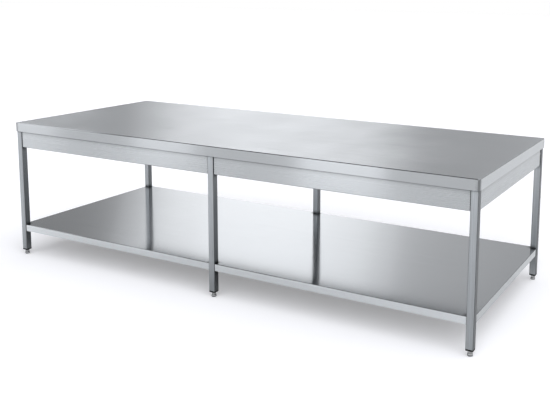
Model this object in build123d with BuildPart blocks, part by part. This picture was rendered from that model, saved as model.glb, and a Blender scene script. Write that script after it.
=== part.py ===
"""Stainless steel work table on six legs, with a full lower shelf.

The frame: +X along the length, +Y from the front to the back, +Z up.
The origin is on the floor, under the middle of the table. Millimetres.

The worktop is a folded tray over two boards, stiffened by hat channels. It sits on six square
tube legs that are joined by pan-shaped aprons and one middle rail. The shelf is a second folded
tray, notched round the legs and bolted to them. Each leg ends in a plastic plug with a captive
nut, and a levelling foot screws into it: a stud with a hexagon, and a pad that doesn't turn.
"""

import os

from build123d import *

# Overall size
TABLE_LENGTH = 3000.0
TABLE_DEPTH = 1200.0
TABLE_HEIGHT = 850.0
SHEET = 1.5

# Worktop
BAND_HEIGHT = 55.0
HEM_WIDTH = 4.0
TOP_CORNER_RADIUS = 12.0
TOP_BEND_RADIUS = 4.0
BOARD_THICKNESS = 18.0
BOARD_CLEARANCE = 3.5
BOARD_CORNER_RADIUS = 9.0
BOARD_JOINT_GAP = 1.0

# Legs
LEG_SIZE = 38.0
LEG_WALL = 1.5
LEG_CORNER_RADIUS = 3.5
LEG_INSET = 6.0
TUBE_BOTTOM = 37.0

# Aprons and middle rail
APRON_BOTTOM = 695.0
APRON_DEPTH = 34.0
APRON_SETBACK = 4.0
APRON_BEND_RADIUS = 3.0
RAIL_WIDTH = 38.0
RAIL_HEIGHT = 70.0

# Stiffening channels
HAT_TOP = 40.0
HAT_FLANGE = 20.0
TOP_HAT_DEPTH = 28.0
SHELF_HAT_DEPTH = 24.0
TOP_HAT_Y = 270.0
SHELF_HAT_Y = 300.0
TOP_HAT_GAP = 6.0
SHELF_HAT_LENGTH = 2860.0
HAT_BEND_RADIUS = 2.5

# Shelf
SHELF_TOP = 195.0
SHELF_BAND = 40.0
SHELF_LIP = 12.0
SHELF_SETBACK = 3.0
SHELF_NOTCH_GAP = 0.25
SHELF_BEND_RADIUS = 3.0
LIP_RELIEF = 5.0

# Plugs, captive nuts and levelling feet
PLUG_FLANGE = 8.0
PLUG_DEPTH = 24.0
PLUG_WALL = 2.0
PLUG_GAP = 0.1
BOSS_RADIUS = 12.0
RIB_WIDTH = 2.4
PLUG_EDGE_RADIUS = 1.0
PLUG_BORE_GAP = 0.4
STUD_RADIUS = 5.0
THREAD_CLEARANCE = 0.05
NUT_FLATS = 17.0
NUT_HEIGHT = 8.0
NUT_GAP = 0.05
NUT_BOTTOM = 40.0
HEX_FLATS = 22.0
HEX_BOTTOM = 15.5
HEX_TOP = 25.0
HEX_CORNER_TRIM = 1.2
HEX_CHAMFER = 0.8
STUD_TOP = 82.0
SPIGOT_RADIUS = 6.0
SPIGOT_BOTTOM = 8.1
SOCKET_FLOOR = 8.0
SOCKET_CLEARANCE = 0.05
PAD_RADIUS = 14.0
PAD_TOP = 15.4
PAD_EDGE_RADIUS = 3.0
PAD_SHOULDER_HEIGHT = 5.0
PAD_SHOULDER_WIDTH = 3.0

# Fasteners: M8 bolts and rivet nuts on the aprons, M6 on the shelf, screws into the boards
M8 = {"shank": 4.0, "length": 15.0, "flats": 13.0, "head": 5.3, "sleeve": 5.5, "rim": 7.5}
M6 = {"shank": 3.0, "length": 13.0, "flats": 10.0, "head": 4.0, "sleeve": 4.5, "rim": 6.5}
BOLT_GAP = 0.15
SLEEVE_GAP = 0.05
SLEEVE_LENGTH = 12.0
COLLAR_THICKNESS = 2.0
X_BOLT_HEIGHTS = (725.0, 795.0)
Y_BOLT_HEIGHTS = (745.0, 775.0)
RAIL_BOLT_HEIGHTS = (776.0, 810.0)
SHELF_X_BOLT_HEIGHT = 166.0
SHELF_Y_BOLT_HEIGHT = 178.0
SCREW_SHANK = 2.1
SCREW_LENGTH = 12.0
SCREW_HEAD_RADIUS = 4.0
SCREW_HEAD = 2.5
SCREW_HEAD_ROUNDING = 1.2
SCREW_TIP_GAP = 0.5
SCREW_HOLE_GAP = 0.15
SCREW_FROM_OUTSIDE = 22.0
LONG_APRON_SCREWS = (110.0, 500.0, 920.0, 1330.0)
SIDE_APRON_SCREWS = (-440.0, 0.0, 440.0)
RAIL_SCREW_OFFSET = 8.0
CHANNEL_SCREWS = (120.0, 500.0, 900.0, 1300.0)

# Derived places
half_length = TABLE_LENGTH / 2
half_depth = TABLE_DEPTH / 2
board_top = TABLE_HEIGHT - SHEET
board_bottom = board_top - BOARD_THICKNESS
leg_face_x = half_length - LEG_INSET
leg_face_y = half_depth - LEG_INSET
leg_x = leg_face_x - LEG_SIZE / 2
leg_y = leg_face_y - LEG_SIZE / 2
leg_inner_x = leg_face_x - LEG_SIZE
leg_inner_y = leg_face_y - LEG_SIZE
tube_inside = LEG_SIZE - 2 * LEG_WALL
apron_height = board_bottom - APRON_BOTTOM
apron_face_x = leg_face_x - APRON_SETBACK
apron_face_y = leg_face_y - APRON_SETBACK
long_apron = leg_inner_x - LEG_SIZE / 2
side_apron = 2 * leg_inner_y
shelf_bottom = SHELF_TOP - SHELF_BAND
shelf_face_x = leg_face_x - SHELF_SETBACK
shelf_face_y = leg_face_y - SHELF_SETBACK
shelf_notch_x = leg_inner_x - SHELF_NOTCH_GAP
shelf_notch_y = leg_inner_y - SHELF_NOTCH_GAP
mid_notch = LEG_SIZE / 2 + SHELF_NOTCH_GAP

leg_places = {
    "front_left": (-leg_x, -leg_y),
    "front_middle": (0.0, -leg_y),
    "front_right": (leg_x, -leg_y),
    "back_left": (-leg_x, leg_y),
    "back_middle": (0.0, leg_y),
    "back_right": (leg_x, leg_y),
}

os.makedirs("parts", exist_ok=True)


def save(builder, name):
    """Labels a finished piece and writes it to its own file."""
    builder.part.label = name
    export_step(builder.part, f"parts/{name}.step")


# Where the bolts go. Each entry is a point on a leg's face and the way the bolt points.
apron_bolts = []
rail_bolts = []
shelf_bolts = []
for side_y in (-1, 1):
    for height in X_BOLT_HEIGHTS:
        for face_x, way in ((-leg_inner_x, -1), (-LEG_SIZE / 2, 1), (LEG_SIZE / 2, -1), (leg_inner_x, 1)):
            apron_bolts.append(((face_x, side_y * leg_y, height), (way, 0, 0)))
    for height in Y_BOLT_HEIGHTS:
        for side_x in (-1, 1):
            apron_bolts.append(((side_x * leg_x, side_y * leg_inner_y, height), (0, side_y, 0)))
    for height in RAIL_BOLT_HEIGHTS:
        rail_bolts.append(((0, side_y * leg_inner_y, height), (0, side_y, 0)))
    for side_x in (-1, 1):
        shelf_bolts.append(((side_x * leg_inner_x, side_y * leg_y, SHELF_X_BOLT_HEIGHT), (side_x, 0, 0)))
        shelf_bolts.append(((side_x * leg_x, side_y * leg_inner_y, SHELF_Y_BOLT_HEIGHT), (0, side_y, 0)))
    shelf_bolts.append(((0, side_y * leg_inner_y, SHELF_Y_BOLT_HEIGHT), (0, side_y, 0)))

# Where the screws go up into the boards: through the aprons and middle rail, and the channels
screw_x = half_length - SCREW_FROM_OUTSIDE
screw_y = half_depth - SCREW_FROM_OUTSIDE
worktop_screws = [
    (side_x * along, side_y * screw_y)
    for side_x in (-1, 1)
    for side_y in (-1, 1)
    for along in LONG_APRON_SCREWS
]
worktop_screws += [(side_x * screw_x, along) for side_x in (-1, 1) for along in SIDE_APRON_SCREWS]
worktop_screws += [(RAIL_SCREW_OFFSET, along) for along in SIDE_APRON_SCREWS]
hat_flange_middle = (HAT_TOP + HAT_FLANGE) / 2
channel_screws = [
    (side_x * along, side_y * TOP_HAT_Y + edge * hat_flange_middle)
    for side_x in (-1, 1)
    for side_y in (-1, 1)
    for along in CHANNEL_SCREWS
    for edge in (-1, 1)
]


def cut_up(points, radius, bottom, depth):
    """Cuts a round hole upwards at each point of a list, in the part that is being built."""
    with BuildSketch(Plane.XY.offset(bottom)) as holes:
        with Locations(*points):
            Circle(radius)
    extrude(holes.sketch, amount=depth, mode=Mode.SUBTRACT)


def cut_along(point, way, radius, depth):
    """Cuts one round hole from a point along a direction, in the part that is being built."""
    with BuildSketch(Plane(origin=point, z_dir=way)) as hole:
        Circle(radius)
    extrude(hole.sketch, amount=depth, mode=Mode.SUBTRACT)


# --- Worktop: a folded tray with a deep band, ground round at the corners, and a narrow hem ---
with BuildPart() as worktop_sheet:
    with BuildSketch(Plane.XY.offset(TABLE_HEIGHT - BAND_HEIGHT)):
        RectangleRounded(TABLE_LENGTH, TABLE_DEPTH, TOP_CORNER_RADIUS)
    extrude(amount=BAND_HEIGHT)
    fillet(worktop_sheet.faces().sort_by(Axis.Z)[-1].edges(), TOP_BEND_RADIUS)
    offset(amount=-SHEET, openings=worktop_sheet.faces().sort_by(Axis.Z)[0])
    hem_inset = SHEET + HEM_WIDTH
    with BuildSketch(Plane.XY.offset(TABLE_HEIGHT - BAND_HEIGHT)):
        RectangleRounded(TABLE_LENGTH - SHEET, TABLE_DEPTH - SHEET, TOP_CORNER_RADIUS - SHEET / 2)
        Rectangle(TABLE_LENGTH - 2 * hem_inset, TABLE_DEPTH - 2 * hem_inset, mode=Mode.SUBTRACT)
    extrude(amount=SHEET)
save(worktop_sheet, "worktop_sheet")

# --- Two boards glued under the sheet, drilled for the screws ---
board_inset = SHEET + BOARD_CLEARANCE
board_length = half_length - board_inset - BOARD_JOINT_GAP
board_middle = BOARD_JOINT_GAP + board_length / 2
for name, side in (("core_board_left", -1), ("core_board_right", 1)):
    with BuildPart() as core_board:
        with BuildSketch(Plane.XY.offset(board_bottom)):
            with Locations((side * board_middle, 0)):
                Rectangle(board_length, TABLE_DEPTH - 2 * board_inset)
        extrude(amount=BOARD_THICKNESS)
        outer_end = 0 if side < 0 else -1
        fillet(core_board.edges().filter_by(Axis.Z).group_by(Axis.X)[outer_end], BOARD_CORNER_RADIUS)
        pilots = [(x, y) for x, y in worktop_screws + channel_screws if x * side > 0]
        cut_up(pilots, SCREW_SHANK + THREAD_CLEARANCE, board_bottom, SCREW_LENGTH)
    save(core_board, name)


def hat_channel(length, depth, middle, top, holes):
    """A hat channel along X, open upwards, with its flanges' top at the given height."""
    section = Plane(origin=(middle[0] - length / 2, middle[1], top), x_dir=(0, 1, 0), z_dir=(1, 0, 0))
    half = HAT_TOP / 2
    with BuildPart() as channel:
        with BuildSketch(section):
            with BuildLine():
                Polyline(
                    (0, -depth),
                    (half, -depth),
                    (half, -SHEET),
                    (half + HAT_FLANGE, -SHEET),
                    (half + HAT_FLANGE, 0),
                    (half - SHEET, 0),
                    (half - SHEET, SHEET - depth),
                    (0, SHEET - depth),
                    close=True,
                )
            make_face()
            mirror(about=Plane.YZ)
        extrude(amount=length)
        fillet(channel.faces().sort_by(Axis.Z)[0].edges().filter_by(Axis.X), HAT_BEND_RADIUS)
        if holes:
            cut_up(holes, SCREW_SHANK + SCREW_HOLE_GAP, top - SHEET, SHEET)
    return channel


# --- Hat channels: two under the boards in each bay, and two under the shelf ---
hat_start = RAIL_WIDTH / 2 + TOP_HAT_GAP
hat_end = apron_face_x - APRON_DEPTH - TOP_HAT_GAP
for name, side_x, side_y in (
    ("worktop_channel_front_left", -1, -1),
    ("worktop_channel_back_left", -1, 1),
    ("worktop_channel_front_right", 1, -1),
    ("worktop_channel_back_right", 1, 1),
):
    middle = (side_x * (hat_start + hat_end) / 2, side_y * TOP_HAT_Y)
    holes = [(x, y) for x, y in channel_screws if x * side_x > 0 and y * side_y > 0]
    save(hat_channel(hat_end - hat_start, TOP_HAT_DEPTH, middle, board_bottom, holes), name)

for name, side in (("shelf_channel_front", -1), ("shelf_channel_back", 1)):
    middle = (0, side * SHELF_HAT_Y)
    save(hat_channel(SHELF_HAT_LENGTH, SHELF_HAT_DEPTH, middle, SHELF_TOP - SHEET, ()), name)


def apron(base, length, bolt_heights):
    """A pan-shaped apron. Its base plane is at its lower edge: X along it, Y inwards, origin on its face."""
    with BuildPart() as pan:
        with BuildSketch(base):
            with Locations((0, APRON_DEPTH / 2)):
                Rectangle(length, APRON_DEPTH)
        extrude(amount=apron_height)
        inwards = Axis(base.origin, base.y_dir)
        fillet(pan.faces().sort_by(inwards)[0].edges(), APRON_BEND_RADIUS)
        offset(amount=-SHEET, openings=pan.faces().sort_by(inwards)[-1])
        bolt_start = base.origin - base.x_dir * (length / 2) + base.y_dir * (LEG_SIZE / 2 - APRON_SETBACK)
        for height in bolt_heights:
            start = (bolt_start.X, bolt_start.Y, height)
            cut_along(start, base.x_dir, M8["shank"] + BOLT_GAP, length)
        inside = [base.to_local_coords(Vector(x, y, APRON_BOTTOM)) for x, y in worktop_screws]
        own = [(p.X, p.Y) for p in inside if abs(p.X) < length / 2 and 0 < p.Y < APRON_DEPTH]
        with BuildSketch(base.offset(apron_height - 2 * SHEET)):
            with Locations(*own):
                Circle(SCREW_SHANK + SCREW_HOLE_GAP)
        extrude(amount=2 * SHEET, mode=Mode.SUBTRACT)
    return pan


# --- Aprons: two along the front, two along the back, one at each end ---
bay_middle = (LEG_SIZE / 2 + leg_inner_x) / 2
long_aprons = {
    "apron_front_left": (-bay_middle, -apron_face_y, 1),
    "apron_front_right": (bay_middle, -apron_face_y, 1),
    "apron_back_left": (-bay_middle, apron_face_y, -1),
    "apron_back_right": (bay_middle, apron_face_y, -1),
}
for name, (x, y, way) in long_aprons.items():
    base = Plane(origin=(x, y, APRON_BOTTOM), x_dir=(way, 0, 0), z_dir=(0, 0, 1))
    save(apron(base, long_apron, X_BOLT_HEIGHTS), name)
for name, side in (("apron_left", -1), ("apron_right", 1)):
    base = Plane(origin=(side * apron_face_x, 0, APRON_BOTTOM), x_dir=(0, side, 0), z_dir=(0, 0, 1))
    save(apron(base, side_apron, Y_BOLT_HEIGHTS), name)

# --- Middle rail: a channel, open below, between the two middle legs ---
with BuildPart() as middle_rail:
    with BuildSketch(Plane.XY.offset(board_bottom - RAIL_HEIGHT)):
        Rectangle(RAIL_WIDTH, side_apron)
    extrude(amount=RAIL_HEIGHT)
    fillet(middle_rail.faces().sort_by(Axis.Z)[-1].edges().filter_by(Axis.Y), APRON_BEND_RADIUS)
    offset(amount=-SHEET, openings=middle_rail.faces().sort_by(Axis.Z)[0])
    for height in RAIL_BOLT_HEIGHTS:
        cut_along((0, -leg_inner_y, height), (0, 1, 0), M8["shank"] + BOLT_GAP, side_apron)
    rail_screws = [(x, y) for x, y in worktop_screws if abs(x) < RAIL_WIDTH / 2]
    cut_up(rail_screws, SCREW_SHANK + SCREW_HOLE_GAP, board_bottom - 2 * SHEET, 2 * SHEET)
save(middle_rail, "middle_rail")

# --- Legs: square tubes with a hole for each rivet nut ---
for place, (x, y) in leg_places.items():
    with BuildPart() as leg:
        with BuildSketch(Plane.XY.offset(TUBE_BOTTOM)):
            with Locations((x, y)):
                RectangleRounded(LEG_SIZE, LEG_SIZE, LEG_CORNER_RADIUS)
                RectangleRounded(tube_inside, tube_inside, LEG_CORNER_RADIUS - LEG_WALL, mode=Mode.SUBTRACT)
        extrude(amount=board_bottom - TUBE_BOTTOM)
        for size, bolts in ((M8, apron_bolts + rail_bolts), (M6, shelf_bolts)):
            for point, way in bolts:
                if abs(point[0] - x) < LEG_SIZE and abs(point[1] - y) < LEG_SIZE:
                    cut_along(point, way, size["sleeve"] + SLEEVE_GAP, 2 * LEG_WALL)
    save(leg, f"leg_{place}")

# --- Shelf: a folded tray, notched round the six legs, with the notch edges folded down ---
corner_x = shelf_face_x - shelf_notch_x
corner_y = shelf_face_y - shelf_notch_y
lip_depth = SHELF_LIP + SHEET / 2
with BuildPart() as shelf_sheet:
    with BuildSketch(Plane.XY.offset(shelf_bottom)):
        Rectangle(2 * shelf_face_x, 2 * shelf_face_y)
        with GridLocations(2 * shelf_face_x - corner_x, 2 * shelf_face_y - corner_y, 2, 2):
            Rectangle(corner_x, corner_y, mode=Mode.SUBTRACT)
        with GridLocations(0, 2 * shelf_face_y - corner_y, 1, 2):
            Rectangle(2 * mid_notch, corner_y, mode=Mode.SUBTRACT)
    extrude(amount=SHELF_BAND)
    fillet(shelf_sheet.faces().sort_by(Axis.Z)[-1].edges(), SHELF_BEND_RADIUS)
    offset(amount=-SHEET, openings=shelf_sheet.faces().sort_by(Axis.Z)[0])
    with BuildSketch(Plane.XY.offset(shelf_bottom)):
        with GridLocations(mid_notch + shelf_notch_x, 2 * (shelf_face_y - SHEET) - SHELF_LIP, 2, 2):
            Rectangle(shelf_notch_x - mid_notch - 2 * LIP_RELIEF, lip_depth)
        with GridLocations(2 * (shelf_face_x - SHEET) - SHELF_LIP, 0, 2, 1):
            Rectangle(lip_depth, 2 * (shelf_notch_y - LIP_RELIEF))
    extrude(amount=SHEET)
    for point, way in shelf_bolts:
        back = tuple(-part for part in way)
        cut_along(point, back, M6["shank"] + BOLT_GAP, 2 * SHEET)
save(shelf_sheet, "shelf_sheet")

# --- Leg plugs: a flange under the tube, a ribbed body inside it, and a pocket for the nut ---
plug_size = tube_inside - 2 * PLUG_GAP
pocket_flats = NUT_FLATS + 2 * NUT_GAP
for place, (x, y) in leg_places.items():
    with BuildPart() as plug:
        with BuildSketch(Plane.XY.offset(TUBE_BOTTOM - PLUG_FLANGE)):
            with Locations((x, y)):
                RectangleRounded(LEG_SIZE, LEG_SIZE, LEG_CORNER_RADIUS)
        extrude(amount=PLUG_FLANGE)
        fillet(plug.faces().sort_by(Axis.Z)[0].edges(), PLUG_EDGE_RADIUS)
        with BuildSketch(Plane.XY.offset(TUBE_BOTTOM)):
            with Locations((x, y)):
                RectangleRounded(plug_size, plug_size, LEG_CORNER_RADIUS - LEG_WALL)
                hollow = plug_size - 2 * PLUG_WALL
                Rectangle(hollow, hollow, mode=Mode.SUBTRACT)
                Circle(BOSS_RADIUS)
                Rectangle(plug_size - PLUG_WALL, RIB_WIDTH)
                Rectangle(RIB_WIDTH, plug_size - PLUG_WALL)
        extrude(amount=PLUG_DEPTH)
        with BuildSketch(Plane.XY.offset(NUT_BOTTOM - NUT_GAP)):
            with Locations((x, y)):
                RegularPolygon(pocket_flats / 2, 6, major_radius=False)
        extrude(amount=TUBE_BOTTOM + PLUG_DEPTH - NUT_BOTTOM + NUT_GAP, mode=Mode.SUBTRACT)
        cut_up([(x, y)], STUD_RADIUS + PLUG_BORE_GAP, TUBE_BOTTOM - PLUG_FLANGE, PLUG_FLANGE + PLUG_DEPTH)
    save(plug, f"leg_plug_{place}")

with BuildPart() as plug_nuts:
    with BuildSketch(Plane.XY.offset(NUT_BOTTOM)):
        with Locations(*leg_places.values()):
            RegularPolygon(NUT_FLATS / 2, 6, major_radius=False)
            Circle(STUD_RADIUS + THREAD_CLEARANCE, mode=Mode.SUBTRACT)
    extrude(amount=NUT_HEIGHT)
save(plug_nuts, "plug_nuts")

# --- Levelling feet: a pad that slides, and in its socket a hexagon-headed stud that turns ---
for place, (x, y) in leg_places.items():
    with BuildPart() as foot_pad:
        with BuildSketch(Plane.XY):
            with Locations((x, y)):
                Circle(PAD_RADIUS)
        extrude(amount=PAD_TOP)
        fillet(foot_pad.faces().sort_by(Axis.Z)[0].edges(), PAD_EDGE_RADIUS)
        chamfer(foot_pad.faces().sort_by(Axis.Z)[-1].edges(), PAD_SHOULDER_HEIGHT, PAD_SHOULDER_WIDTH)
        socket_depth = PAD_TOP - SOCKET_FLOOR
        cut_up([(x, y)], SPIGOT_RADIUS + SOCKET_CLEARANCE, SOCKET_FLOOR, socket_depth)
    save(foot_pad, f"foot_pad_{place}")

    with BuildPart() as foot_stud:
        with BuildSketch(Plane.XY.offset(SPIGOT_BOTTOM)):
            with Locations((x, y)):
                Circle(SPIGOT_RADIUS)
        extrude(amount=HEX_BOTTOM - SPIGOT_BOTTOM)
        with BuildSketch(Plane.XY.offset(HEX_BOTTOM)):
            with Locations((x, y)):
                RegularPolygon(HEX_FLATS / 2, 6, major_radius=False)
                Circle(HEX_FLATS / 2 + HEX_CORNER_TRIM, mode=Mode.INTERSECT)
        extrude(amount=HEX_TOP - HEX_BOTTOM)
        chamfer(foot_stud.faces().sort_by(Axis.Z)[-1].edges(), HEX_CHAMFER)
        with BuildSketch(Plane.XY.offset(HEX_TOP)):
            with Locations((x, y)):
                Circle(STUD_RADIUS)
        extrude(amount=STUD_TOP - HEX_TOP)
        chamfer(foot_stud.faces().sort_by(Axis.Z)[-1].edges(), HEX_CHAMFER)
    save(foot_stud, f"foot_stud_{place}")


def bolt_set(bolts, size, grip):
    """Hexagon bolts with their heads on a sheet that ends this far from the leg's face."""
    with BuildPart() as group:
        for point, way in bolts:
            seat = Plane(origin=point, z_dir=way).offset(-grip)
            with BuildSketch(seat):
                Circle(size["shank"])
            extrude(amount=size["length"])
            with BuildSketch(seat):
                RegularPolygon(size["flats"] / 2, 6, major_radius=False)
            extrude(amount=-size["head"])
    return group


def rivet_nut_set(bolts, size):
    """Flush rivet nuts set in the legs' walls: a sleeve with a swaged collar behind the wall."""
    with BuildPart() as group:
        for point, way in bolts:
            face = Plane(origin=point, z_dir=way)
            with BuildSketch(face):
                Circle(size["sleeve"])
            extrude(amount=SLEEVE_LENGTH)
            with BuildSketch(face.offset(LEG_WALL)):
                Circle(size["rim"])
            extrude(amount=COLLAR_THICKNESS)
            with BuildSketch(face):
                Circle(size["shank"] + THREAD_CLEARANCE)
            extrude(amount=SLEEVE_LENGTH, mode=Mode.SUBTRACT)
    return group


def screw_set(points):
    """Pan-head screws that point up through a sheet into the boards."""
    with BuildPart() as group:
        seat = Plane.XY.offset(board_bottom - SHEET)
        with BuildSketch(seat):
            with Locations(*points):
                Circle(SCREW_SHANK)
        extrude(amount=SHEET + SCREW_LENGTH - SCREW_TIP_GAP)
        with BuildSketch(seat):
            with Locations(*points):
                Circle(SCREW_HEAD_RADIUS)
        extrude(amount=-SCREW_HEAD)
        fillet(group.faces().group_by(Axis.Z)[0].edges(), SCREW_HEAD_ROUNDING)
    return group


# --- Fasteners, each kind as one group of separate solids ---
save(bolt_set(apron_bolts, M8, SHEET), "apron_bolts")
save(bolt_set(rail_bolts, M8, SHEET), "rail_bolts")
save(bolt_set(shelf_bolts, M6, SHEET + SHELF_NOTCH_GAP), "shelf_bolts")
save(rivet_nut_set(apron_bolts + rail_bolts, M8), "frame_rivet_nuts")
save(rivet_nut_set(shelf_bolts, M6), "shelf_rivet_nuts")
save(screw_set(worktop_screws), "worktop_screws")
save(screw_set(channel_screws), "channel_screws")
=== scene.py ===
"""Looks of the stainless steel work table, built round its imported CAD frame. Metres, +Z up."""

import math

import bpy
from mathutils import Euler, Matrix, Vector


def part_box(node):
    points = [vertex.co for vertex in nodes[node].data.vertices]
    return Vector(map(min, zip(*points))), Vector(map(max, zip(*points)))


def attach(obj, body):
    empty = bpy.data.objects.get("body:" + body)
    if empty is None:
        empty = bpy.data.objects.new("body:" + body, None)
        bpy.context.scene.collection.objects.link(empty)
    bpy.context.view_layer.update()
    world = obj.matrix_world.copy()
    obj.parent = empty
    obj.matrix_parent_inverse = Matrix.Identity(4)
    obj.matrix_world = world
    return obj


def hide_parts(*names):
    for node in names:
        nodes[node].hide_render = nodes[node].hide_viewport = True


# Camera: aimed a little down, with the picture shifted to keep upright edges nearly parallel
CAMERA_PLACE = Vector((2.550, -3.946, 1.665))
CAMERA_YAW = math.radians(28.1)
CAMERA_PITCH = math.radians(8.4)
CAMERA_ROLL = math.radians(0.6)
CAMERA_LENS = 51.7
CAMERA_SENSOR = 36.0
CAMERA_SHIFT = (-0.11, -0.175)

# Studio: brightness of the surround by how far a direction leans along X, from -1 to 1
SURROUND_BACK = (
    (-1.00, 0.75),
    (-0.86, 0.40),
    (-0.72, 0.36),
    (-0.66, 0.74),
    (-0.60, 1.38),
    (-0.52, 1.56),
    (-0.45, 1.44),
    (-0.39, 1.06),
    (-0.34, 0.72),
    (-0.28, 0.64),
    (-0.20, 0.58),
    (0.00, 0.62),
    (0.15, 0.90),
    (0.35, 0.58),
    (0.60, 1.02),
    (0.80, 0.60),
    (1.00, 0.75),
)
SURROUND_FRONT = (
    (-1.00, 0.50),
    (-0.80, 0.90),
    (-0.745, 1.25),
    (-0.705, 0.35),
    (-0.66, 1.00),
    (-0.63, 1.25),
    (-0.59, 0.75),
    (-0.52, 0.95),
    (-0.46, 1.30),
    (-0.40, 0.95),
    (-0.33, 0.80),
    (-0.24, 0.55),
    (-0.10, 0.30),
    (0.10, 0.85),
    (0.40, 0.45),
    (0.65, 1.00),
    (1.00, 0.50),
)
SURROUND_TOP = (
    (-1.00, 2.60),
    (-0.72, 2.20),
    (-0.67, 0.20),
    (-0.45, 0.05),
    (-0.26, 0.30),
    (-0.12, 1.50),
    (0.20, 1.80),
    (0.60, 1.40),
    (1.00, 0.90),
)
# The overhead part takes over between these heights of a direction, and the back between these leans in Y
TOP_FROM = 0.34
TOP_FULL = 0.62
TURN_TO_BACK = (-0.15, 0.10)
# Strip lights on the floor in front, mirrored by bands, aprons and legs: (place, width, brightness)
STRIP_DISTANCE = 3.6
STRIP_HEIGHT = 1.3
STRIPS = ((-4.9, 1.0, 0.52), (-2.85, 0.8, 0.72), (-0.75, 0.9, 0.92), (1.1, 0.6, 0.72))
COOL_WHITE = (0.97, 0.98, 1.0)

# Levelling feet, as in the CAD
PLACES = [f"{row}_{column}" for row in ("front", "back") for column in ("left", "middle", "right")]
SPIGOT_RADIUS = 0.006
HEX_FLATS = 0.022
HEX_FACE = 0.0112
HEX_CORNER = 0.0122
HEX_BOTTOM = 0.0155
HEX_TOP = 0.025
CHAMFER = 0.0008
NECK = 0.0012
STUD_RADIUS = 0.005
THREAD_PITCH = 0.0015
THREAD_DEPTH = 0.0009
THREAD_STEPS = 6
SOLE_ROUNDING = 0.003
GROOVE_HEIGHT = 0.0055
GROOVE = 0.0008
DOME_WIDTH = 0.0045
DOME_RISE = 0.0060
SOCKET_RADIUS = 0.00605
SOCKET_FLOOR = 0.008
SHARP_ANGLE = math.radians(32)

# Fasteners, as in the CAD. Bolts: node, shank radius, width across the flats, head height
BOLTS = (
    ("apron_bolts", 0.0040, 0.013, 0.0053),
    ("rail_bolts", 0.0040, 0.013, 0.0053),
    ("shelf_bolts", 0.0030, 0.010, 0.0040),
)
WASHER_FACE = 0.0004
SCREWS = ("worktop_screws", "channel_screws")
SCREW_SHANK = 0.0021
SCREW_HEAD_RADIUS = 0.0040
SCREW_HEAD = 0.0025
RECESS_REACH = 0.0021
RECESS_HALF_WIDTH = 0.0006
RECESS_DEPTH = 0.0014

# Brushed steel: grain per metre along and across it, the tone where it is ground, and painted shade at
# upright corners, on bends and close to a piece
GRAIN_ALONG = 0.3
GRAIN_ACROSS = 60.0
FINE_GRAIN = 14.0
BROAD_GRAIN = 2.2
GROUND_WIDTH = 0.022
GROUND_TONE = 0.70
CORNER_PAINTED_SHADE = 0.62
BEND_PAINTED_SHADE = 0.60
BEND_POLISH = 0.55
# Painted shade beside neighbouring pieces: how far it reaches and how dark it gets
GAP_REACH = 0.028
GAP_PAINTED_SHADE = 0.18

# Floor: half its side, how much it glows for the camera, and how pale steel mirrors it
FLOOR_REACH = 60.0
FLOOR_LIFT = 0.235
FLOOR_IN_STEEL = 0.78


class Graph:
    """The nodes of one material or world."""

    def __init__(self, owner):
        owner.use_nodes = True
        self.owner = owner
        self.tree = owner.node_tree
        self.tree.nodes.clear()

    def add(self, kind, settings=None, **inputs):
        """A new node. Inputs are sockets to link, or values, by name; spaces in names are underscores."""
        node = self.tree.nodes.new(kind)
        for name, value in (settings or {}).items():
            setattr(node, name, value)
        for name, value in inputs.items():
            self.put(self.socket(node, name), value)
        return node

    @staticmethod
    def socket(node, name):
        if name.startswith("n") and name[1:].isdigit():
            return node.inputs[int(name[1:])]
        return node.inputs[name.replace("_", " ")]

    def put(self, socket, value):
        if isinstance(value, bpy.types.NodeSocket):
            self.tree.links.new(value, socket)
        else:
            socket.default_value = value

    def math(self, operation, a, b=0.0):
        return self.add("ShaderNodeMath", {"operation": operation}, n0=a, n1=b).outputs[0]

    def scaled(self, vector, scale):
        """A vector scaled by a number for each of its axes."""
        node = self.add("ShaderNodeVectorMath", {"operation": "MULTIPLY"}, n0=vector, n1=scale)
        return node.outputs["Vector"]

    def toned(self, colour, tone):
        """A colour made darker or lighter by a tone."""
        node = self.add("ShaderNodeVectorMath", {"operation": "SCALE"}, n0=colour[:3], Scale=tone)
        return node.outputs["Vector"]

    def split(self, vector):
        node = self.add("ShaderNodeSeparateXYZ", Vector=vector)
        return node.outputs["X"], node.outputs["Y"], node.outputs["Z"]

    def noise(self, vector, scale=1.0, detail=2.0, roughness=0.5):
        settings = {"Vector": vector, "Scale": scale, "Detail": detail, "Roughness": roughness}
        return self.add("ShaderNodeTexNoise", **settings).outputs["Fac"]

    def range(self, value, low, high, to_low=0.0, to_high=1.0, smooth=False):
        kind = "SMOOTHSTEP" if smooth else "LINEAR"
        node = self.add(
            "ShaderNodeMapRange",
            {"interpolation_type": kind, "clamp": True},
            Value=value,
            From_Min=low,
            From_Max=high,
            To_Min=to_low,
            To_Max=to_high,
        )
        return node.outputs["Result"]

    def mix(self, factor, a, b):
        """A blend of two numbers."""
        node = self.add("ShaderNodeMix", {"data_type": "FLOAT"}, n0=factor, n2=a, n3=b)
        return node.outputs[0]

    def mix_vector(self, factor, a, b):
        node = self.add("ShaderNodeMix", {"data_type": "VECTOR"}, n0=factor, n4=a, n5=b)
        return node.outputs[1]

    def mix_colour(self, factor, a, b):
        node = self.add("ShaderNodeMix", {"data_type": "RGBA"}, n0=factor, n6=a, n7=b)
        return node.outputs[2]

    def bump(self, height, distance, strength):
        node = self.add("ShaderNodeBump", Height=height, Distance=distance, Strength=strength)
        return node.outputs["Normal"]


def material_graph(name):
    return Graph(bpy.data.materials.new(name))


def finish_material(graph, shader):
    output = graph.add("ShaderNodeOutputMaterial")
    graph.put(output.inputs["Surface"], shader.outputs[0])
    return graph.owner


def grey(value, blue=0.0):
    """A grey that leans towards blue by this share."""
    return (value * (1 - blue), value * (1 - blue / 2), value, 1.0)


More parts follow.
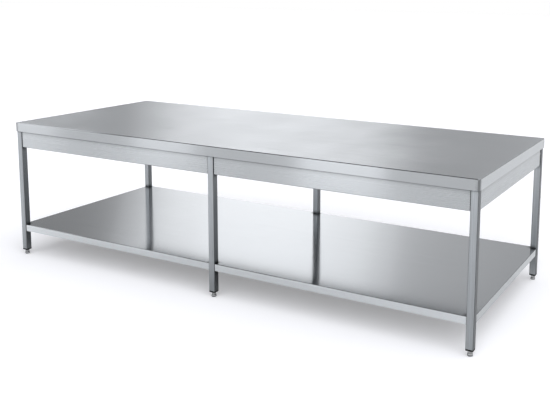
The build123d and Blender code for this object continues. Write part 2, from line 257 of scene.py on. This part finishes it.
def painted_gap_shade(graph, tone):
    """Painted shade: a tone that darkens beside a neighbouring piece, where ambient occlusion finds it
    closed in.
    """
    openness = graph.add("ShaderNodeAmbientOcclusion", {"samples": 8}, Distance=GAP_REACH).outputs["AO"]
    return graph.math("MULTIPLY", tone, graph.range(openness, 0.60, 0.96, GAP_PAINTED_SHADE, 1.0))


def ground_strips(graph, place, steepness, half_length, half_depth, width):
    """How far a point is in the strips beside upright edges that are ground after welding, from 0 to 1."""
    place_x, place_y, _ = graph.split(place)
    ragged = graph.math("MULTIPLY", graph.noise(place, scale=90.0, detail=2.0), width * 0.25)
    reach_x = graph.math("ADD", graph.math("ABSOLUTE", place_x), ragged)
    reach_y = graph.math("ADD", graph.math("ABSOLUTE", place_y), ragged)
    near_x = graph.range(reach_x, half_length - width, half_length - width * 0.6, smooth=True)
    near_y = graph.range(reach_y, half_depth - width, half_depth - width * 0.6, smooth=True)
    upright = graph.math("LESS_THAN", steepness, 0.5)
    return graph.math("MULTIPLY", graph.math("MULTIPLY", near_x, near_y), upright)


def brushed_steel(
    name,
    along,
    colour,
    roughness,
    grain=1.0,
    anisotropy=0.9,
    contrast=0.05,
    front_painted_shading=1.0,
    side_painted_shading=1.0,
    dressed=None,
):
    """Stainless steel with a brushed grain, along X (and along Y on faces that look along X) or along Z.

    contrast is how much the grain's lines differ in tone. The front and side shading arguments are painted
    light and shade, scaling the tone of the faces that look along Y and along X. dressed is the (half
    length, half depth, width) of the strips ground upright.
    """
    graph = material_graph(name)
    place = graph.add("ShaderNodeTexCoord").outputs["Object"]
    normal = graph.add("ShaderNodeNewGeometry").outputs["True Normal"]
    normal_x, normal_y, normal_z = graph.split(normal)
    if along == "X":
        on_end = graph.math("ABSOLUTE", normal_x)
        flat = graph.scaled(place, (GRAIN_ALONG, GRAIN_ACROSS, GRAIN_ACROSS))
        end = graph.scaled(place, (GRAIN_ACROSS, GRAIN_ALONG, GRAIN_ACROSS))
        lines = graph.mix_vector(graph.math("GREATER_THAN", on_end, 0.7), flat, end)
        run_x = graph.math("SUBTRACT", 1.0, on_end)
        tangent = graph.add("ShaderNodeCombineXYZ", X=run_x, Y=on_end).outputs["Vector"]
    else:
        lines = graph.scaled(place, (GRAIN_ACROSS, GRAIN_ACROSS, GRAIN_ALONG))
        tangent = graph.add("ShaderNodeCombineXYZ", Z=1.0).outputs["Vector"]

    fine = graph.noise(lines, scale=FINE_GRAIN * grain, detail=3.0, roughness=0.65)
    broad = graph.noise(lines, scale=BROAD_GRAIN * grain, detail=2.0)
    cloud = graph.noise(place, scale=2.6, detail=3.0, roughness=0.55)
    streaks = graph.math("ADD", graph.math("MULTIPLY", fine, 0.65), graph.math("MULTIPLY", broad, 0.35))
    tone = graph.range(streaks, 0.3, 0.7, 1.0 - contrast, 1.0 + contrast)
    tone = graph.math("MULTIPLY", tone, graph.range(cloud, 0.35, 0.65, 0.985, 1.015))
    # Painted light and shade: faces that look along Y or along X are made lighter or darker by a set factor
    for facing, facing_painted_shading in ((normal_y, front_painted_shading), (normal_x, side_painted_shading)):
        faced = graph.range(graph.math("ABSOLUTE", facing), 0.5, 1.0, 1.0, facing_painted_shading)
        tone = graph.math("MULTIPLY", tone, faced)

    steepness = graph.math("ABSOLUTE", normal_z)
    if dressed:
        ground = ground_strips(graph, place, steepness, *dressed)
        across = graph.add("ShaderNodeCombineXYZ", Z=1.0).outputs["Vector"]
        tangent = graph.mix_vector(ground, tangent, across)
        tone = graph.math("MULTIPLY", tone, graph.range(ground, 0.0, 1.0, 1.0, GROUND_TONE))
    # Painted shade: rounded upright corners, where a face looks between X and Y, are darkened
    corner = graph.range(graph.math("ABSOLUTE", graph.math("MULTIPLY", normal_x, normal_y)), 0.05, 0.30)
    tone = graph.math("MULTIPLY", tone, graph.range(corner, 0.0, 1.0, 1.0, CORNER_PAINTED_SHADE))
    # Painted shade: bends between level and upright faces are darkened
    bent = graph.math("MULTIPLY", graph.range(steepness, 0.0, 0.1), graph.range(steepness, 0.999, 0.98))
    tone = graph.math("MULTIPLY", tone, graph.range(bent, 0.0, 1.0, 1.0, BEND_PAINTED_SHADE))
    # Painted shade: darker beside neighbouring pieces, in the crevices between parts
    tone = painted_gap_shade(graph, tone)

    polish = graph.range(streaks, 0.3, 0.7, roughness * 0.86, roughness * 1.16)
    polish = graph.math("MULTIPLY", polish, graph.range(cloud, 0.3, 0.7, 0.93, 1.07))
    polish = graph.math("MULTIPLY", polish, graph.range(bent, 0.0, 1.0, 1.0, BEND_POLISH))
    shader = graph.add(
        "ShaderNodeBsdfPrincipled",
        Base_Color=graph.toned(colour, tone),
        Metallic=1.0,
        Roughness=polish,
        Anisotropic=anisotropy,
        Anisotropic_Rotation=0.25,
        Tangent=tangent,
        Normal=graph.bump(streaks, 0.00002, 0.15),
    )
    return finish_material(graph, shader)


def plain_metal(name, colour, roughness, scale):
    """Turned or plated metal, with fine marks round it."""
    graph = material_graph(name)
    place = graph.add("ShaderNodeTexCoord").outputs["Object"]
    marks = graph.noise(graph.scaled(place, (60.0, 60.0, 600.0)), scale=scale, detail=3.0)
    cloud = graph.noise(place, scale=30.0, detail=3.0)
    shader = graph.add(
        "ShaderNodeBsdfPrincipled",
        Base_Color=graph.toned(colour, graph.range(cloud, 0.3, 0.7, 0.88, 1.08)),
        Metallic=1.0,
        Roughness=graph.range(marks, 0.3, 0.7, roughness * 0.8, roughness * 1.2),
        Normal=graph.bump(marks, 0.00004, 0.6),
    )
    return finish_material(graph, shader)


def moulded_plastic(name, colour, roughness):
    """Plastic with a fine moulded grain."""
    graph = material_graph(name)
    place = graph.add("ShaderNodeTexCoord").outputs["Object"]
    grain = graph.noise(place, scale=2200.0, detail=2.0)
    cloud = graph.noise(place, scale=60.0, detail=3.0)
    base = graph.mix_colour(graph.range(cloud, 0.35, 0.65), colour, grey(colour[0] * 1.5))
    shader = graph.add(
        "ShaderNodeBsdfPrincipled",
        Specular_IOR_Level=0.2,
        Base_Color=base,
        Roughness=graph.range(grain, 0.3, 0.7, roughness * 0.85, roughness * 1.15),
        Normal=graph.bump(grain, 0.00006, 0.5),
    )
    return finish_material(graph, shader)


def melamine(name):
    """A white-faced board, with bare chipboard at its edges."""
    graph = material_graph(name)
    place = graph.add("ShaderNodeTexCoord").outputs["Object"]
    normal = graph.add("ShaderNodeNewGeometry").outputs["True Normal"]
    level = graph.math("GREATER_THAN", graph.math("ABSOLUTE", graph.split(normal)[2]), 0.5)
    peel = graph.noise(place, scale=420.0, detail=2.0)
    chips = graph.noise(graph.scaled(place, (1.0, 1.0, 3.0)), scale=330.0, detail=4.0, roughness=0.7)
    chip_colour = graph.mix_colour(
        graph.range(chips, 0.35, 0.62), (0.28, 0.17, 0.09, 1.0), (0.62, 0.45, 0.28, 1.0)
    )
    base = graph.mix_colour(level, chip_colour, (0.83, 0.83, 0.81, 1.0))
    shader = graph.add(
        "ShaderNodeBsdfPrincipled",
        Base_Color=base,
        Roughness=graph.mix(level, 0.9, graph.range(peel, 0.3, 0.7, 0.42, 0.55)),
        Normal=graph.bump(graph.mix(level, chips, peel), 0.00012, 0.4),
    )
    return finish_material(graph, shader)


def ramp(graph, value, stops):
    """A brightness that follows stops of (place from -1 to 1, brightness)."""
    node = graph.add("ShaderNodeFloatCurve", Value=graph.range(value, -1.0, 1.0))
    curve = node.mapping.curves[0]
    most = max(level for _, level in stops)
    first, last = stops[0], stops[-1]
    curve.points[0].location = (0.0, first[1] / most)
    curve.points[1].location = (1.0, last[1] / most)
    for place, level in stops[1:-1]:
        curve.points.new((place + 1) / 2, level / most)
    node.mapping.update()
    return graph.math("MULTIPLY", node.outputs[0], most)


def hexagon(half_flats):
    """How far a hexagon of this half width reaches at an angle."""
    return lambda angle, height: half_flats / math.cos(angle % math.radians(60) - math.radians(30))


def thread(radius):
    """How far a screw thread of this radius reaches at an angle and height."""
    return lambda angle, height: radius - THREAD_DEPTH * abs(
        2 * ((height / THREAD_PITCH - angle / (2 * math.pi)) % 1.0) - 1
    )


def cross(half_width):
    """How far the arms of a cross recess of this half width reach at an angle."""
    return lambda angle, height: half_width / max(
        abs(math.sin((angle + math.pi / 4) % (math.pi / 2) - math.pi / 4)), 0.001
    )


def turned(name, rings, columns, material, body, places):
    """Closed turned pieces, one at each place, from rings of (radius, height, shape) up a Z axis.

    A ring with a shape reaches as far as the shape does at each angle, but no further than its radius.
    """
    profile = []
    for radius, height, shape in rings:
        for column in range(columns):
            angle = 2 * math.pi * column / columns
            reach = min(radius, shape(angle, height)) if shape else radius
            profile.append(Vector((reach * math.cos(angle), reach * math.sin(angle), height)))
    points = []
    faces = []
    for place in places:
        start = len(points)
        points += [place @ point for point in profile]
        for row in range(len(rings) - 1):
            low = start + row * columns
            for column in range(columns):
                after = (column + 1) % columns
                faces.append((low + column, low + after, low + columns + after, low + columns + column))
        faces.append(tuple(reversed(range(start, start + columns))))
        faces.append(tuple(range(len(points) - columns, len(points))))
    mesh = bpy.data.meshes.new(name)
    mesh.from_pydata(points, [], faces)
    mesh.materials.append(material)
    mesh.shade_smooth()
    mesh.set_sharp_from_angle(angle=SHARP_ANGLE)
    piece = bpy.data.objects.new(name, mesh)
    bpy.context.scene.collection.objects.link(piece)
    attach(piece, body)
    return piece


def arc_rings(centre_radius, centre_height, width, rise, start, end, steps):
    """Round rings along an arc, from one angle to another in degrees, 0 outwards and 90 up."""
    rings = []
    for step in range(steps + 1):
        angle = math.radians(start + (end - start) * step / steps)
        radius = centre_radius + width * math.cos(angle)
        rings.append((radius, centre_height + rise * math.sin(angle), None))
    return rings


def stud_rings(low, high):
    """The levelling stud: a spigot, a chamfered hexagon, a neck, and a thread of the real pitch."""
    core = STUD_RADIUS - THREAD_DEPTH
    flats = hexagon(HEX_FLATS / 2)
    rings = [
        (SPIGOT_RADIUS - CHAMFER, low, None),
        (SPIGOT_RADIUS, low + CHAMFER, None),
        (SPIGOT_RADIUS, HEX_BOTTOM, None),
        (HEX_FACE, HEX_BOTTOM, flats),
        (HEX_CORNER, HEX_BOTTOM + CHAMFER, flats),
        (HEX_CORNER, HEX_TOP - CHAMFER, flats),
        (HEX_FACE, HEX_TOP, flats),
        (core, HEX_TOP, None),
        (core, HEX_TOP + NECK, None),
    ]
    steps = int((high - CHAMFER - HEX_TOP - NECK) / THREAD_PITCH * THREAD_STEPS)
    for step in range(steps + 1):
        height = HEX_TOP + NECK + step * THREAD_PITCH / THREAD_STEPS
        rings.append((STUD_RADIUS, height, thread(STUD_RADIUS)))
    return rings + [(core, high - CHAMFER / 2, None), (core - CHAMFER, high, None)]


def pad_rings(radius, height):
    """The levelling pad: a rounded sole, a grip groove, a domed shoulder, and the socket for the stud."""
    sole = arc_rings(radius - SOLE_ROUNDING, SOLE_ROUNDING, SOLE_ROUNDING, SOLE_ROUNDING, -90, 0, 6)
    groove = [
        (radius, GROOVE_HEIGHT, None),
        (radius - GROOVE, GROOVE_HEIGHT + GROOVE / 2, None),
        (radius - GROOVE, GROOVE_HEIGHT + GROOVE, None),
        (radius, GROOVE_HEIGHT + GROOVE * 1.5, None),
    ]
    shoulder = arc_rings(radius - DOME_WIDTH, height - DOME_RISE, DOME_WIDTH, DOME_RISE, 0, 90, 8)
    socket = [(SOCKET_RADIUS, height, None), (SOCKET_RADIUS, SOCKET_FLOOR, None)]
    return sole + groove + shoulder + socket


def bolt_rings(length, shank, flats, head):
    """A hexagon bolt from its tip up: a chamfered shank, a washer face, and a chamfered hexagon."""
    under = length - head
    face = flats / 2 * 0.95
    sides = hexagon(flats / 2)
    return [
        (shank - CHAMFER, 0.0, None),
        (shank, CHAMFER, None),
        (shank, under, None),
        (face, under, None),
        (face, under + WASHER_FACE, None),
        (flats, under + WASHER_FACE, sides),
        (flats / 2 * 1.11, length - CHAMFER, sides),
        (face, length, sides),
    ]


def screw_rings(length, shank, head_radius, head):
    """A pan-head screw from its tip to its head: a pointed shank, a rounded head, and a cross recess."""
    under = length - head
    rounding = head * 0.6
    arms = cross(RECESS_HALF_WIDTH)
    point = [(shank * 0.15, 0.0, None), (shank, shank * 1.6, None), (shank, under, None)]
    pan = [(head_radius, under, None)]
    pan += arc_rings(head_radius - rounding, length - rounding, rounding, rounding, 0, 90, 5)
    recess = [(RECESS_REACH * 1.1, length, None), (RECESS_REACH, length, arms)]
    return point + pan + recess + [(RECESS_REACH * 0.6, length - RECESS_DEPTH, arms)]


def solids(node):
    """The points of each separate solid in a CAD node."""
    spots = [node.matrix_world @ vertex.co for vertex in node.data.vertices]
    keys = [tuple(round(value * 1e6) for value in spot) for spot in spots]
    joined = {key: key for key in keys}

    def root(key):
        while joined[key] != key:
            key = joined[key]
        return key

    for edge in node.data.edges:
        first, second = (root(keys[end]) for end in edge.vertices)
        joined[first] = second
    found = {}
    for key, spot in zip(keys, spots):
        found.setdefault(root(key), []).append(spot)
    return [found[key] for key in sorted(found)]


def fastener_places(node):
    """Where each fastener in a node has its tip, with Z towards its head, and how long they are."""
    places = []
    for spots in solids(node):
        low = Vector([min(spot[axis] for spot in spots) for axis in range(3)])
        high = Vector([max(spot[axis] for spot in spots) for axis in range(3)])
        middle = (low + high) / 2
        size = high - low
        along = max(range(3), key=lambda axis: size[axis])
        way = Vector([float(axis == along) for axis in range(3)])
        widest = max(spots, key=lambda spot: ((spot - middle) - (spot - middle).project(way)).length)
        if (widest - middle).dot(way) < 0:
            way = -way
        tip = middle - way * size[along] / 2
        places.append(Matrix.Translation(tip) @ way.to_track_quat("Z", "X").to_matrix().to_4x4())
    return places, size[along]


def make_fasteners(nodes, steel):
    """Bolts and screws with real heads, in place of the CAD's plain ones."""
    sets = [(name, "bolt", (shank, flats, head)) for name, shank, flats, head in BOLTS]
    sets += [(name, "screw", (SCREW_SHANK, SCREW_HEAD_RADIUS, SCREW_HEAD)) for name in SCREWS]
    for name, kind, sizes in sets:
        places, length = fastener_places(nodes[name])
        rings = bolt_rings(length, *sizes) if kind == "bolt" else screw_rings(length, *sizes)
        piece = turned(f"{name}_detail", rings, 24, steel, "root", places)
        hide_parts(name)


def make_feet(steel):
    """A pad and a threaded stud for each foot, in place of the CAD's plain ones."""
    for place in PLACES:
        pad_low, pad_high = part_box(f"foot_pad_{place}")
        stud_low, stud_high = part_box(f"foot_stud_{place}")
        middle = (pad_low + pad_high) / 2
        stand = [Matrix.Translation((middle.x, middle.y, 0.0))]
        sole = pad_rings((pad_high.x - pad_low.x) / 2, pad_high.z)
        stem = stud_rings(stud_low.z, stud_high.z)
        for rings, columns, body in ((sole, 48, "pad"), (stem, 36, "stud")):
            name = f"{body}_{place}"
            piece = turned(f"{name}_detail", rings, columns, steel, name, stand)
            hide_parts(f"foot_{name}")


def make_world():
    """A soft studio surround that lights steel and floor. The camera sees plain white behind the table."""
    world = bpy.data.worlds.new("studio")
    bpy.context.scene.world = world
    graph = Graph(world)
    direction = graph.add("ShaderNodeTexCoord").outputs["Generated"]
    lean, away, height = graph.split(direction)
    behind = graph.range(away, *TURN_TO_BACK, smooth=True)
    low = graph.mix(behind, ramp(graph, lean, SURROUND_FRONT), ramp(graph, lean, SURROUND_BACK))
    overhead = graph.range(height, TOP_FROM, TOP_FULL, smooth=True)
    strength = graph.mix(overhead, low, ramp(graph, lean, SURROUND_TOP))
    soft = graph.add("ShaderNodeBackground", Color=(*COOL_WHITE, 1.0), Strength=strength)
    plain = graph.add("ShaderNodeBackground", Color=(1.0, 1.0, 1.0, 1.0), Strength=1.0)
    path = graph.add("ShaderNodeLightPath")
    both = graph.add("ShaderNodeMixShader", Fac=path.outputs["Is Camera Ray"])
    graph.put(both.inputs[1], soft.outputs[0])
    graph.put(both.inputs[2], plain.outputs[0])
    output = graph.add("ShaderNodeOutputWorld")
    graph.put(output.inputs["Surface"], both.outputs[0])


def make_floor():
    """A pale floor, lifted towards white as a paper sweep is, and a calmer grey where steel mirrors it."""
    reach = FLOOR_REACH
    corners = [(-reach, -reach, 0.0), (reach, -reach, 0.0), (reach, reach, 0.0), (-reach, reach, 0.0)]
    mesh = bpy.data.meshes.new("floor")
    mesh.from_pydata(corners, [], [(0, 1, 2, 3)])
    floor = bpy.data.objects.new("floor", mesh)
    bpy.context.scene.collection.objects.link(floor)
    graph = material_graph("pale_floor")
    place = graph.add("ShaderNodeTexCoord").outputs["Object"]
    cloud = graph.noise(place, scale=0.7, detail=2.0)
    colour = graph.mix_colour(cloud, (0.85, 0.85, 0.875, 1.0), (0.87, 0.87, 0.89, 1.0))
    paper = graph.add("ShaderNodeBsdfDiffuse", Color=colour, Roughness=1.0)
    lift = graph.add("ShaderNodeEmission", Color=(1.0, 0.995, 1.0, 1.0), Strength=FLOOR_LIFT)
    seen = graph.add("ShaderNodeAddShader")
    graph.put(seen.inputs[0], paper.outputs[0])
    graph.put(seen.inputs[1], lift.outputs[0])
    mirrored = graph.add("ShaderNodeBsdfDiffuse", Color=(*[FLOOR_IN_STEEL] * 3, 1.0), Roughness=1.0)
    path = graph.add("ShaderNodeLightPath")
    both = graph.add("ShaderNodeMixShader", Fac=path.outputs["Is Camera Ray"])
    graph.put(both.inputs[1], mirrored.outputs[0])
    graph.put(both.inputs[2], seen.outputs[0])
    mesh.materials.append(finish_material(graph, both))


def make_strips():
    """Low strip lights that steel mirrors and the camera doesn't see."""
    for number, (place, width, brightness) in enumerate(STRIPS):
        data = bpy.data.lights.new(f"strip_{number}", "AREA")
        data.shape = "RECTANGLE"
        data.size = width
        data.size_y = STRIP_HEIGHT
        data.energy = math.pi * width * STRIP_HEIGHT * brightness
        data.color = COOL_WHITE
        strip = bpy.data.objects.new(f"strip_{number}", data)
        bpy.context.scene.collection.objects.link(strip)
        strip.location = (place, -STRIP_DISTANCE, STRIP_HEIGHT / 2 + 0.02)
        strip.rotation_euler = (math.pi / 2, 0.0, 0.0)
        strip.visible_camera = False
        strip.visible_diffuse = False


def make_camera():
    data = bpy.data.cameras.new("camera")
    data.sensor_width = CAMERA_SENSOR
    data.lens = CAMERA_LENS
    data.shift_x, data.shift_y = CAMERA_SHIFT
    data.clip_start = 0.1
    data.clip_end = 200.0
    camera = bpy.data.objects.new("camera", data)
    bpy.context.scene.collection.objects.link(camera)
    aim = Euler((math.pi / 2 - CAMERA_PITCH, 0.0, CAMERA_YAW)).to_matrix()
    turn = (aim @ Matrix.Rotation(CAMERA_ROLL, 3, "Z")).to_4x4()
    camera.matrix_world = Matrix.Translation(CAMERA_PLACE) @ turn
    bpy.context.scene.camera = camera


def paint(node, material):
    """Gives a CAD node a material, in every slot that it has."""
    if not node.material_slots:
        node.data.materials.append(material)
    for slot in node.material_slots:
        slot.material = material


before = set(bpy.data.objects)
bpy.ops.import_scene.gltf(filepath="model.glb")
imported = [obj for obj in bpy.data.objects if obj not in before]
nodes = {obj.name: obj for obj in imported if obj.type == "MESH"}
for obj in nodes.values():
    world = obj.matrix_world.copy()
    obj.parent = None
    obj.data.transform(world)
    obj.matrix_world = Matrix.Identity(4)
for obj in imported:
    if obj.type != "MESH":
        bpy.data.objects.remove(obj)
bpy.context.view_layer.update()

bpy.context.scene.view_settings.view_transform = "Standard"
make_world()
make_floor()
make_strips()
make_camera()

top_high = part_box("worktop_sheet")[1]
sheet_steel = brushed_steel(
    "worktop_steel",
    "X",
    grey(0.66, 0.06),
    roughness=0.21,
    anisotropy=1.0,
    front_painted_shading=0.9,
    side_painted_shading=1.15,
    dressed=(top_high.x, top_high.y, GROUND_WIDTH),
)
shelf_steel = brushed_steel(
    "shelf_steel",
    "X",
    grey(0.50, 0.06),
    roughness=0.08,
    anisotropy=1.0,
    front_painted_shading=1.92,
    side_painted_shading=1.6,
)
apron_steel = brushed_steel(
    "apron_steel",
    "X",
    grey(0.63, 0.06),
    roughness=0.26,
    contrast=0.035,
    side_painted_shading=1.1,
)
leg_steel = brushed_steel(
    "leg_steel",
    "Z",
    grey(0.41, 0.09),
    roughness=0.30,
    grain=1.6,
    anisotropy=0.8,
    contrast=0.26,
    front_painted_shading=1.3,
    side_painted_shading=0.62,
)
channel_steel = brushed_steel("channel_steel", "X", grey(0.50, 0.02), roughness=0.42, anisotropy=0.4)
turned_steel = plain_metal("foot_steel", grey(0.52, 0.02), roughness=0.13, scale=12.0)
zinc = plain_metal("fastener_steel", (0.66, 0.67, 0.70, 1.0), roughness=0.3, scale=8.0)
black_plastic = moulded_plastic("plug_plastic", grey(0.005), roughness=0.6)
board = melamine("core_board")

materials = {
    "worktop_sheet": sheet_steel,
    "core_board": board,
    "worktop_channel": channel_steel,
    "shelf_channel": channel_steel,
    "apron_bolts": zinc,
    "apron": apron_steel,
    "middle_rail": apron_steel,
    "leg_plug": black_plastic,
    "leg": leg_steel,
    "shelf_sheet": shelf_steel,
    "plug_nuts": zinc,
    "foot": turned_steel,
}
make_feet(turned_steel)
make_fasteners(nodes, zinc)
for name in sorted(nodes):
    found = [start for start in materials if name.startswith(start)]
    paint(nodes[name], materials[found[0]] if found else zinc)
